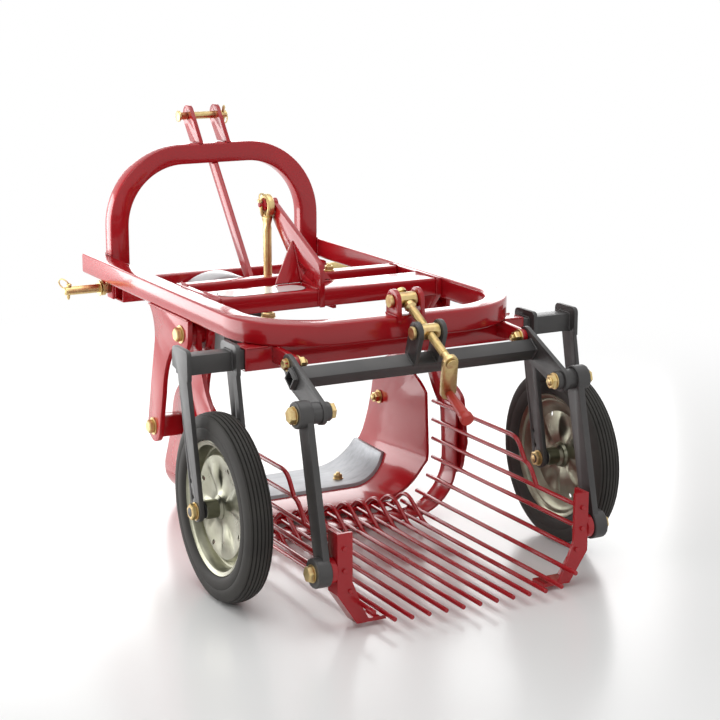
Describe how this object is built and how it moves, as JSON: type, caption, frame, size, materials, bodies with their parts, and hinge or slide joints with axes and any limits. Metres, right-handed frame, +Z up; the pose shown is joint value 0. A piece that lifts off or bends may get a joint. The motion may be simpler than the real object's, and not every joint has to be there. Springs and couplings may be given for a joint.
{
  "type": "potato harvester",
  "caption": "Small tractor-mounted potato harvester: a tube frame on two wheels with a digging share, a tilting rod sieve and a crank.",
  "frame": {"origin": "on the ground, below the middle of the machine's length and width", "axes": "+Y the way it is towed, +X its right-hand side, +Z up"},
  "size_m": [0.99, 1.4139, 0.9289],
  "materials": {
    "red_paint": "glossy red powder coat",
    "charcoal_paint": "satin charcoal paint",
    "yellow_zinc": "yellow zinc plating",
    "bright_zinc": "clear zinc plating",
    "wear_steel": "bare hard steel",
    "grey_paint": "light grey paint",
    "orange_plastic": "moulded plastic",
    "tyre": "ribbed rubber"
  },
  "bodies": {
    "frame": {"main_frame": "red_paint", "rear_crossbar": "red_paint", "front_crossbar": "red_paint", "inner_plate_left": "red_paint", "inner_plate_right": "red_paint", "side_plate_left": "red_paint", "side_plate_right": "red_paint", "share_spacer_left": "red_paint", "share_spacer_right": "red_paint", "hitch_arch": "red_paint", "hitch_tube": "red_paint", "lower_link_pin_left": "yellow_zinc", "lower_link_pin_right": "yellow_zinc", "top_link_plate_left": "red_paint", "top_link_plate_right": "red_paint", "top_link_pin": "yellow_zinc", "drive_cradle": "red_paint", "mast_brace": "red_paint", "drive_guard": "grey_paint", "gearbox_housing": "charcoal_paint", "shaft_bearing": "charcoal_paint", "hanger_arm": "red_paint", "hanger_rod": "yellow_zinc", "share_plate": "red_paint", "wear_plate": "wear_steel", "share_fingers": "red_paint", "sieve_hanger_left": "red_paint", "sieve_hanger_right": "red_paint", "rocker_lug_left": "red_paint", "rocker_lug_right": "red_paint", "spindle_ear_left": "red_paint", "spindle_ear_right": "red_paint", "wheel_receiver": "red_paint", "wheel_fork_left": "charcoal_paint", "wheel_fork_right": "charcoal_paint"},
    "drive_shaft": {"drive_shaft": "bright_zinc"},
    "sieve": {"sieve_grid": "red_paint", "sieve_upright_left": "red_paint", "sieve_upright_right": "red_paint"},
    "rockshaft": {"rockshaft": "charcoal_paint", "rocker_arm_left": "charcoal_paint", "rocker_arm_right": "charcoal_paint"},
    "swing_link_left": {"swing_link_left": "charcoal_paint"},
    "swing_link_right": {"swing_link_right": "charcoal_paint"},
    "upper_trunnion": {"upper_trunnion": "yellow_zinc"},
    "crank": {"spindle_screw": "yellow_zinc", "crank_arm": "yellow_zinc", "crank_handle": "orange_plastic"},
    "lower_trunnion": {"lower_trunnion": "yellow_zinc"},
    "wheel_left": {"tyre_left": "tyre", "wheel_rim_left": "bright_zinc"},
    "wheel_right": {"tyre_right": "tyre", "wheel_rim_right": "bright_zinc"}
  },
  "joints": [
    {"name": "wheel_spin_left", "type": "hinge", "parent": "frame", "child": "wheel_left", "pos_m": [-0.421, -0.367, 0.2], "axis": [1, 0, 0], "continuous": true},
    {"name": "wheel_spin_right", "type": "hinge", "parent": "frame", "child": "wheel_right", "pos_m": [0.421, -0.367, 0.2], "axis": [1, 0, 0], "continuous": true},
    {"name": "shaft_spin", "type": "hinge", "parent": "frame", "child": "drive_shaft", "pos_m": [-0.046, 0.478, 0.4], "axis": [0, 1, 0], "continuous": true},
    {"name": "rockshaft_tilt", "type": "hinge", "parent": "frame", "child": "rockshaft", "pos_m": [0, -0.417, 0.5], "axis": [-1, 0, 0], "range_deg": [-2, 20]},
    {"name": "sieve_tilt", "type": "hinge", "parent": "frame", "child": "sieve", "pos_m": [0, -0.082, 0.146], "axis": [-1, 0, 0], "range_deg": [-1, 6]},
    {"name": "link_swing_left", "type": "hinge", "parent": "rockshaft", "child": "swing_link_left", "pos_m": [-0.323, -0.557, 0.431], "axis": [-1, 0, 0], "range_deg": [-26, 5]},
    {"name": "link_swing_right", "type": "hinge", "parent": "rockshaft", "child": "swing_link_right", "pos_m": [0.323, -0.557, 0.431], "axis": [-1, 0, 0], "range_deg": [-26, 5]},
    {"name": "upper_trunnion_swing", "type": "hinge", "parent": "frame", "child": "upper_trunnion", "pos_m": [0.008, -0.375, 0.6], "axis": [-1, 0, 0], "range_deg": [-1, 4]},
    {"name": "lower_trunnion_swing", "type": "hinge", "parent": "rockshaft", "child": "lower_trunnion", "pos_m": [0.008, -0.472, 0.549], "axis": [-1, 0, 0], "range_deg": [-20, 3]},
    {"name": "crank_spin", "type": "hinge", "parent": "upper_trunnion", "child": "crank", "pos_m": [0.008, -0.375, 0.6], "axis": [0, -0.8851, -0.4654], "continuous": true}
  ],
  "couplings": [
    {"joint": "sieve_tilt", "follows": "rockshaft_tilt", "ratio": 0.25},
    {"joint": "link_swing_left", "follows": "rockshaft_tilt", "ratio": -1.161},
    {"joint": "link_swing_right", "follows": "rockshaft_tilt", "ratio": -1.161},
    {"joint": "upper_trunnion_swing", "follows": "rockshaft_tilt", "ratio": 0.159},
    {"joint": "lower_trunnion_swing", "follows": "rockshaft_tilt", "ratio": -0.841}
  ]
}
